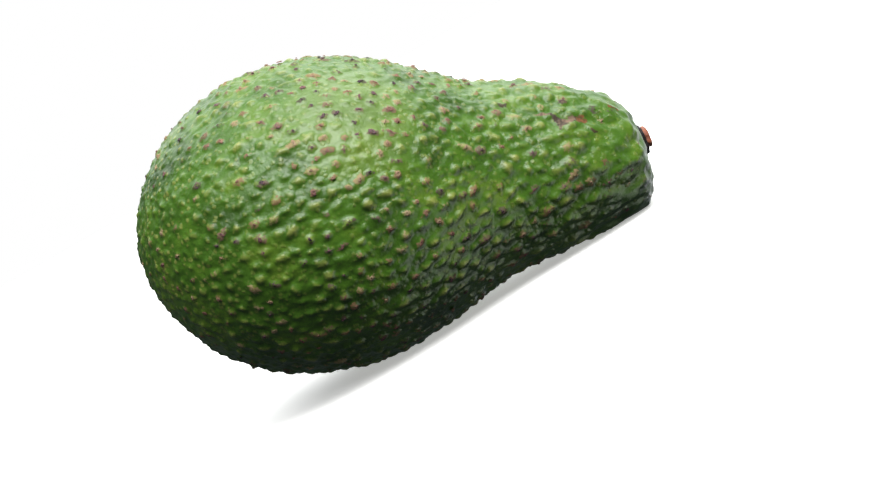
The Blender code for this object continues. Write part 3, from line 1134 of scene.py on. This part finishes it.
    def ridges(self, add: Callable, given: Any, calm: Any, blossom: Any) -> tuple[Any, Any, Any]:
        """Adds the nodes for the ridges along the fruit and for the broad swells of its neck.

        Args:
            add: adds a node to the tree.
            given: what the tree's inputs give.
            calm: how calm the skin is.
            blossom: how near the blossom end is.

        Returns:
            The ridges' height, the swells' height and the place along the fruit.
        """
        grown = add(NAMED, ("grown",), data_type="FLOAT_VECTOR")
        along = add("ShaderNodeSeparateXYZ", (grown,)).outputs["X"]
        twist = add(MATH, (along, given["Ridge Twist"]), operation="MULTIPLY")
        turned = add("ShaderNodeVectorRotate", {"Vector": grown, "Angle": twist}, rotation_type="X_AXIS")
        drawn = add("ShaderNodeCombineXYZ", (given["Ridge Draw"], 1.0, 1.0))
        drawn = add(VECTOR_MATH, (turned, drawn), operation="MULTIPLY")
        fineness = add(MATH, (1.0, given["Ridge Pitch"]), operation="DIVIDE")
        ridge = add(NOISE, {
            "Vector": drawn, "Scale": fineness, "Detail": self.ridge_detail,
            "Roughness": self.ridge_roughness})
        calmed, worn = (
            add(MAP_RANGE, (zone, 0.0, 1.0, 1.0, left), **SMOOTH)
            for zone, left in zip((calm, blossom), self.ridge_left))
        ridge = add(MATH, (ridge, 0.5), operation="SUBTRACT")
        for factor in (calmed, worn, given["Ridge Height"]):
            ridge = add(MATH, (ridge, factor), operation="MULTIPLY")
        fineness = add(MATH, (1.0, given["Swell Pitch"]), operation="DIVIDE")
        swell = add(NOISE, {"Vector": drawn, "Scale": fineness, "Detail": self.swell_detail})
        swell = add(MATH, (swell, 0.5), operation="SUBTRACT")
        for factor in (given["Swell Height"], add(MAP_RANGE, (along, *self.swell_fade), **SMOOTH)):
            swell = add(MATH, (swell, factor), operation="MULTIPLY")
        return ridge, swell, along

    def grains(self, add: Callable, given: Any, moved: Any, calm: Any, shares: Any) -> Any:
        """Adds the nodes for the small grains between the nodules.

        Args:
            add: adds a node to the tree.
            given: what the tree's inputs give.
            moved: the places of the skin after their waver.
            calm: how calm the skin is.
            shares: the nodules' share at each place.

        Returns:
            The grain's share of its full height.
        """
        seed, spacing = given["Grain Seed"], given["Grain Spacing"]
        points = add("GeometryNodeDistributePointsOnFaces", {
            "Mesh": given["Geometry"], "Distance Min": spacing, "Density Max": self.grain_density,
            "Seed": seed}, distribute_method="POISSON").outputs["Points"]
        size = add("FunctionNodeRandomValue", {"Min": 0.0, "Max": 1.0, "Seed": seed})
        points = add(STORE, {"Geometry": points, "Name": "size", "Value": size})
        nearest = add("GeometryNodeSampleNearest", {"Geometry": points, "Sample Position": moved})
        middle = {"Geometry": points, "Value": add("GeometryNodeInputPosition"), "Index": nearest}
        middle = add(SAMPLE, middle, data_type="FLOAT_VECTOR")
        size = add(SAMPLE, {"Geometry": points, "Value": add(NAMED, ("size",)), "Index": nearest})
        far = add(VECTOR_MATH, (moved, middle), operation="DISTANCE")
        far = add(MATH, (far, spacing), operation="DIVIDE")
        grain = add(MAP_RANGE, (far, *self.grain_fade), **SMOOTH)
        on_nodule = add(MAP_RANGE, (shares, *self.grain_on_nodule), **SMOOTH)
        on_calm = add(MAP_RANGE, (calm, *self.grain_on_calm), **SMOOTH)
        for factor in (size, on_nodule, on_calm):
            grain = add(MATH, (grain, factor), operation="MULTIPLY")
        return grain

    def relief_tree(self, skin: bpy.types.Material, values: dict[str, Any]) -> Any:
        """Makes the tree that raises nodules, ridges and grains and settles the skin where it lies.

        Args:
            skin: the skin's material.
            values: the values that its inputs will take.

        Returns:
            The tree.
        """
        tree, add, given = new_tree("raise_nodules", values)
        position = add("GeometryNodeInputPosition")
        calm, blossom, crest, scar = (
            add(NAMED, (name,)) for name in ("calm", "blossom", "crest", "scar"))
        fineness = add(MATH, (1.0, given["Waver Size"]), operation="DIVIDE")
        wander = add(NOISE, {"Vector": position, "Scale": fineness, "Detail": self.waver_detail})
        wander = add(VECTOR_MATH, (wander.outputs["Color"], (0.5, 0.5, 0.5)), operation="SUBTRACT")
        wander = add(VECTOR_MATH, {0: wander, "Scale": given["Waver"]}, operation="SCALE")
        moved = add(VECTOR_MATH, (position, wander), operation="ADD")
        depth = given["Valley Depth"]
        for zone, rise in ((calm, self.nodules.calm_rise), (blossom, self.nodules.blossom_rise)):
            left = add(MAP_RANGE, (zone, 0.0, 1.0, 1.0, rise), **SMOOTH)
            depth = add(MATH, (depth, left), operation="MULTIPLY")

        cloud = add("GeometryNodeObjectInfo", {"Object": given["Nodules"]}).outputs["Geometry"]
        domes = shares = corks = tones = None
        for member in range(self.nodules.sets):
            chosen = {"A": add(NAMED, ("member",)), "B": float(member), "Epsilon": self.member_slack}
            chosen = add("FunctionNodeCompare", chosen, operation="EQUAL")
            points = add("GeometryNodeSeparateGeometry", {"Geometry": cloud, "Selection": chosen})
            dome, share, cork, tone = self.raise_set(add, given, points, moved, depth)
            if member == 0:
                domes, shares, corks, tones = dome, share, cork, tone
                continue
            nearer = add(MATH, (share, shares), operation="GREATER_THAN")
            tones = add(MIX, {"Factor": nearer, "A": tones, "B": tone})
            domes = add(MATH, (domes, dome, given["Merge"]), operation="SMOOTH_MAX")
            shares = add(MATH, (shares, share), operation="MAXIMUM")
            corks = add(MATH, (corks, cork), operation="MAXIMUM")

        ridge, swell, along = self.ridges(add, given, calm, blossom)
        grain = self.grains(add, given, moved, calm, shares)
        smooth = (self.nodules.smooth_from, self.nodules.smooth_full)
        bare = add(MAP_RANGE, (along, *smooth, 1.0, self.bare_left), **SMOOTH)
        uneven = add(MAP_RANGE, (ridge, *self.scar_uneven), **SMOOTH)
        scar = add(MATH, (scar, uneven), operation="MULTIPLY")
        rise = add(MATH, (domes, depth), operation="SUBTRACT")
        rise = add(MATH, (grain, given["Grain Height"], rise), operation="MULTIPLY_ADD")
        rise = add(MATH, (rise, bare, swell), operation="MULTIPLY_ADD")
        rise = add(MATH, (ridge, rise), operation="ADD")
        rise = add(MATH, (crest, given["Crest Height"], rise), operation="MULTIPLY_ADD")
        rise = add(MATH, (scar, given["Scar Height"], rise), operation="MULTIPLY_ADD")
        nodule = add(MATH, (grain, self.grain_paleness, shares), operation="MULTIPLY_ADD")
        nodule = add(MATH, (nodule, bare), operation="MULTIPLY")
        cork = add(MATH, (corks, bare), operation="MULTIPLY")

        made = given["Geometry"]
        for name, value in (("nodule", nodule), ("cork", cork), ("tone", tones)):
            made = add(STORE, {"Geometry": made, "Name": name, "Value": value})
        lift = add(VECTOR_MATH, {0: add("GeometryNodeInputNormal"), "Scale": rise}, operation="SCALE")
        made = add("GeometryNodeSetPosition", {"Geometry": made, "Offset": lift})
        split = add("ShaderNodeSeparateXYZ", (position,)).outputs
        level = add(MATH, (split["Z"], 0.0), operation="MAXIMUM")
        settled = add("ShaderNodeCombineXYZ", (split["X"], split["Y"], level))
        made = add("GeometryNodeSetPosition", {"Geometry": made, "Position": settled})
        made = add("GeometryNodeRealizeInstances", (made,))
        made = add("GeometryNodeSetMaterial", {"Geometry": made, "Material": skin})
        add("NodeGroupOutput", (made,))
        return tree

    def build(self, cloud: bpy.types.Object) -> bpy.types.Object:
        """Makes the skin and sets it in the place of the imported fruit.

        Args:
            cloud: the nodules' points.

        Returns:
            The skin.
        """
        plain = self.base_mesh()
        self.mark_places(plain)
        sizes = (
            "valley_depth", "merge", "waver", "waver_size", "ridge_height", "ridge_pitch", "ridge_draw",
            "ridge_twist", "swell_height", "swell_pitch", "grain_spacing", "grain_height", "grain_seed",
            "scar_height", "crest_height", "tip_reach")
        values = {"Nodules": cloud, **named_values(self, sizes)}
        made = apply_tree(plain, self.relief_tree(WaxySkin().build(), values), values, "skin")
        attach(made, ROOT)
        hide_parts("fruit")
        return made


@dataclass
class CorkTips:
    """The crumbs of cork on the tips of the nodules that have cracked.

    profile gives a crumb's rings: radius and height in shares of its size, and how far it is in the pit,
    which is how much painted shade it takes.
    """

    sides: int = 7
    profile: tuple = ((0.34, 0.02, 0.4), (0.62, 0.16, 0.0), (1.0, -0.22, 0.25))
    pit_depth: float = -0.14
    ragged: float = 0.22
    bumpy: float = 0.05
    radius: float = 0.62 * MILLIMETRE
    least_size: tuple = (0.6, 0.5, 0.5)
    greatest_size: tuple = (1.6, 1.15, 1.2)
    least_cork: float = 0.5
    clear_of_floor: float = 1.5 * MILLIMETRE
    seed: int = 9

    def crumb(self) -> bpy.types.Object:
        """Makes one crumb: a low ragged ring round a pit, one unit in radius.

        Returns:
            The crumb.
        """
        draw = np.random.default_rng(self.seed)
        points = [(0.0, 0.0, self.pit_depth)]
        pit_shade_shares = [1.0]
        for radius, height, pit in self.profile:
            for side in range(self.sides):
                turn = side * math.tau / self.sides
                ragged = radius * (1.0 + self.ragged * draw.normal() * radius)
                points.append((ragged * math.cos(turn), ragged * math.sin(turn),
                               height + self.bumpy * draw.normal()))
                pit_shade_shares.append(pit)
        faces = []
        for side in range(self.sides):
            after = (side + 1) % self.sides
            faces.append((0, 1 + side, 1 + after))
            for level in range(len(self.profile) - 1):
                first = 1 + level * self.sides
                outer = first + self.sides
                faces.append((first + side, outer + side, outer + after, first + after))
        made = mesh_object("crumb", np.array(points), faces)
        # The pit attribute is how much painted shade each ring takes in the cork material.
        give_attribute(made.data, "pit", np.array(pit_shade_shares))
        return made

    def crumb_tree(self, cork: bpy.types.Material, values: dict[str, Any]) -> Any:
        """Makes the tree that sets a crumb on each corky nodule.

        Args:
            cork: the crumbs' material.
            values: the values that its inputs will take.

        Returns:
            The tree.
        """
        tree, add, given = new_tree("set_crumbs", values)
        amount, rise = (add(NAMED, (name,)) for name in ("cork", "rise"))
        outward = add(NAMED, ("outward",), data_type="FLOAT_VECTOR")
        above = add("ShaderNodeSeparateXYZ", (add("GeometryNodeInputPosition"),)).outputs["Z"]
        corky, clear = (
            add("FunctionNodeCompare", {"A": value, "B": least}, operation="GREATER_THAN")
            for value, least in ((amount, given["Least Cork"]), (above, given["Clear Of Floor"])))
        chosen = add("FunctionNodeBooleanMath", (corky, clear), operation="AND")
        up = add("FunctionNodeAlignRotationToVector", {"Vector": outward}, axis="Z")
        spin = add("FunctionNodeRandomValue", {"Min": 0.0, "Max": math.tau, "Seed": given["Seed"]})
        turned = {"Rotation": up, "Rotate By": add("ShaderNodeCombineXYZ", {"Z": spin})}
        turned = add("FunctionNodeRotateRotation", turned, rotation_space="LOCAL")
        size = {"Min": self.least_size, "Max": self.greatest_size, "Seed": given["Seed"]}
        size = add("FunctionNodeRandomValue", size, data_type="FLOAT_VECTOR")
        for scale in (given["Radius"], amount):
            size = add(VECTOR_MATH, {0: size, "Scale": scale}, operation="SCALE")
        lift = add(VECTOR_MATH, {0: outward, "Scale": rise}, operation="SCALE")
        made = add("GeometryNodeSetPosition", {"Geometry": given["Geometry"], "Offset": lift})
        crumb = add("GeometryNodeObjectInfo", {"Object": given["Crumb"]}).outputs["Geometry"]
        made = add("GeometryNodeInstanceOnPoints", {
            "Points": made, "Selection": chosen, "Instance": crumb, "Rotation": turned, "Scale": size})
        made = add("GeometryNodeRealizeInstances", (made,))
        made = add("GeometryNodeSetMaterial", {"Geometry": made, "Material": cork})
        add("NodeGroupOutput", (made,))
        return tree

    def build(self, cloud: bpy.types.Object) -> bpy.types.Object:
        """Makes the crumbs.

        Args:
            cloud: the nodules' points, which it uses up.

        Returns:
            The crumbs, as one piece.
        """
        crumb = self.crumb()
        sizes = ("radius", "least_cork", "clear_of_floor", "seed")
        values = {"Crumb": crumb, **named_values(self, sizes)}
        made = apply_tree(cloud, self.crumb_tree(TipCork().build(), values), values, "cork_tips")
        bpy.data.objects.remove(crumb)
        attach(made, ROOT)
        return made


@dataclass
class StemButton:
    """The dry stub of the stalk, in a dark collar, in the hollow at the stem end.

    Profiles are heights and radii in millimetres, from the middle of the base to that of the top, and
    so are the lift, the roughness and the least radius.
    """

    form: FruitForm
    resting: Resting
    gap: float = 0.3 * MILLIMETRE
    sides: int = 72
    collar: tuple = (
        (0.0, 0.0), (0.0, 2.8), (0.4, 3.35), (1.6, 3.7), (2.5, 3.75), (3.2, 3.45), (3.15, 2.9), (2.0, 2.4),
        (1.9, 0.0))
    stub: tuple = (
        (1.7, 0.0), (1.7, 2.2), (2.5, 2.25), (3.2, 2.40), (3.8, 2.60), (4.2, 2.60), (4.5, 2.3),
        (4.6, 1.6), (4.35, 0.8), (4.3, 0.0))
    stub_lift: float = 0.5
    rows_per_millimetre: float = 5.0
    lobes: tuple = ((5, 0.05, 0.4), (8, 0.035, 1.9))
    collar_rough: float = 0.10
    stub_rough: float = 0.22
    collar_seed: int = 3
    stub_seed: int = 8
    noise_squash: float = 0.6
    noise_pitch: float = 1.6
    noise_octaves: tuple = (1.0, 2.0, 3)
    sink: float = 0.5
    rough_above: float = 0.5
    least_radius: float = 0.02

    def turned_piece(self, name: str, profile: tuple, rough: float, lift: float,
                     seed: int) -> bpy.types.Object:
        """Turns a profile about the stem's axis and makes its surface uneven.

        Args:
            name: the piece's name.
            profile: its profile.
            rough: how far its surface wanders.
            lift: how far it sits above the stem's axis.
            seed: which part of the noise it reads.

        Returns:
            The piece.
        """
        ends = np.array(profile, float)
        rows = [ends[0]]
        for first, last in zip(ends, ends[1:]):
            parts = max(1, math.ceil(np.linalg.norm(last - first) * self.rows_per_millimetre))
            rows += [first + (last - first) * part / parts for part in range(1, parts + 1)]
        turn = np.arange(self.sides) * math.tau / self.sides
        lobed = 1.0 + sum(depth * np.cos(count * (turn - start)) for count, depth, start in self.lobes)
        points = [(rows[0][0], 0.0, 0.0)]
        for height, radius in rows[1:-1]:
            for angle, wide in zip(turn, lobed):
                out = Vector((0.0, math.sin(angle), math.cos(angle)))
                at = Vector((height * self.noise_squash, 0.0, 0.0)) + out * radius
                at = at * self.noise_pitch + Vector((seed, 0.0, 0.0))
                shift = abs(rough * noise.fractal(at, *self.noise_octaves))
                reach = max(self.least_radius, radius * wide - shift * min(1.0, radius))
                sunk = height - self.sink * shift * (height > self.rough_above)
                points.append(tuple(out * reach + Vector((sunk, 0.0, 0.0))))
        points.append((rows[-1][0] - rough * self.sink, 0.0, 0.0))
        faces = []
        rings = len(rows) - 2
        for side in range(self.sides):
            after = (side + 1) % self.sides
            faces.append((0, 1 + after, 1 + side))
            for ring in range(rings - 1):
                first = 1 + ring * self.sides
                above = first + self.sides
                faces.append((first + side, first + after, above + after, above + side))
            last = 1 + (rings - 1) * self.sides
            faces.append((last + side, last + after, len(points) - 1))
        hollow = self.form.points(np.array([1.0]), np.array([0.0]))[0] + np.array([self.gap, 0.0, 0.0])
        points = np.array(points)
        points[:, 2] += lift
        points[:, 0] -= self.form.stem_end_lean * points[:, 2]
        return mesh_object(name, self.resting.place(points * MILLIMETRE + hollow), faces)

    def build(self) -> list[bpy.types.Object]:
        """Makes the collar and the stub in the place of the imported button.

        Returns:
            The two pieces.
        """
        collar = self.turned_piece("stem_collar", self.collar, self.collar_rough, 0.0, self.collar_seed)
        stub = self.turned_piece("stem_stub", self.stub, self.stub_rough, self.stub_lift, self.stub_seed)
        collar.data.materials.append(CollarRind().build())
        stub.data.materials.append(StubCork().build())
        for piece in (collar, stub):
            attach(piece, ROOT)
        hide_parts("stem_button")
        return [collar, stub]


@dataclass
class Studio:
    """A pale floor, soft lights and a white surround.

    Each softbox has its name, its place to the right, up and towards the camera from the middle of
    what the camera sees, its side, and its power in watts. The tints are linear.
    """

    camera: Camera
    floor_side: float = 1.3
    softboxes: tuple = (
        ("key", 0.0, 0.70, 0.49, 0.5, 8.8),
        ("upper_left", -0.28, 0.70, 0.40, 0.5, 3.2),
        ("left", -0.42, 0.43, 0.60, 0.5, 3.4),
        ("rim", 0.0, 0.80, -0.29, 0.5, 2.8),
        ("left_rim", -0.60, 0.55, -0.24, 0.5, 1.3),
        ("right", 0.80, -0.05, 0.29, 0.5, 1.6),
        ("low_right", 0.72, -0.40, 0.05, 0.4, 1.6),
    )
    white: tuple = (1.0, 1.0, 1.0, 1.0)
    surround: float = 1.0
    tint: tuple = (0.95, 0.98, 1.0, 1.0)
    below_tint: tuple = (0.74, 0.86, 1.0, 1.0)
    behind_fade: tuple = (0.1, 0.7, 0.02, 1.95)
    below_fill: float = 0.09
    above_fade: tuple = (-0.2, 0.12, 0.0, 1.0)
    backdrop_slant: float = 1.2

    def floor(self) -> None:
        """Lays the floor."""
        half = self.floor_side / 2
        corners = np.array([(-half, -half, 0.0), (half, -half, 0.0), (half, half, 0.0), (-half, half, 0.0)])
        floor = mesh_object("floor", corners, [(0, 1, 2, 3)])
        floor.data.materials.append(PaleFloor().build())
        floor.visible_diffuse = False
        floor.visible_glossy = False

    def lights(self) -> None:
        """Hangs the softboxes."""
        camera = self.camera
        for name, right, up, back, side, power in self.softboxes:
            data = bpy.data.lights.new(name, "AREA")
            data.size = side
            data.energy = power
            made = bpy.data.objects.new(name, data)
            away = camera.right * right + camera.up * up + camera.back * back
            made.location = camera.centre + away
            made.rotation_euler = away.to_track_quat("Z", "Y").to_euler()
            bpy.context.scene.collection.objects.link(made)

    def world(self) -> None:
        """Makes the surround: white to the camera, and softly graded light to the fruit."""
        world = bpy.data.worlds.new("white_surround")
        world.use_nodes = True
        tree = world.node_tree
        add = partial(add_node, tree)
        direction = add(COORDINATES).outputs["Generated"]
        split = add("ShaderNodeSeparateXYZ", (direction,)).outputs
        behind = add(MAP_RANGE, (split["Y"], *self.behind_fade), **SMOOTH)
        height = add(MATH, (split["X"], self.backdrop_slant, split["Z"]), operation="MULTIPLY_ADD")
        above = add(MAP_RANGE, (height, *self.above_fade), **SMOOTH)
        strength = add(MIX, {"Factor": above, "A": self.below_fill, "B": behind})
        tint = {"Factor": above, "A": self.below_tint, "B": self.tint}
        graded = add("ShaderNodeBackground", (add(MIX, tint, data_type="RGBA"), strength))
        white = add("ShaderNodeBackground", (self.white, self.surround))
        seen = add("ShaderNodeLightPath").outputs["Is Camera Ray"]
        mixed = add("ShaderNodeMixShader", (seen, graded, white))
        join_inputs(tree.nodes["World Output"], {"Surface": mixed})
        bpy.context.scene.world = world

    def build(self) -> None:
        """Sets up the floor, the lights and the surround."""
        self.floor()
        self.lights()
        self.world()
        bpy.context.scene.view_settings.view_transform = "Standard"


def main() -> None:
    """Builds the fruit's pieces in order."""
    logging.basicConfig(level=logging.INFO, format="%(message)s")
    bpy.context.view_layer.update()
    form = FruitForm()
    nodules = Nodules(form)
    resting = Resting(form, nodules)
    camera = Camera()
    camera.aim(resting)
    camera.build()
    skin = Skin(form, nodules, resting, camera)
    cloud = skin.nodule_points()
    pieces = [skin.build(cloud)]
    pieces.append(CorkTips().build(cloud))
    pieces += StemButton(form, resting).build()
    Studio(camera).build()
    for piece in pieces:
        log.info("%s: %d faces", piece.name, len(piece.data.polygons))


if __name__ == "__main__":
    main()
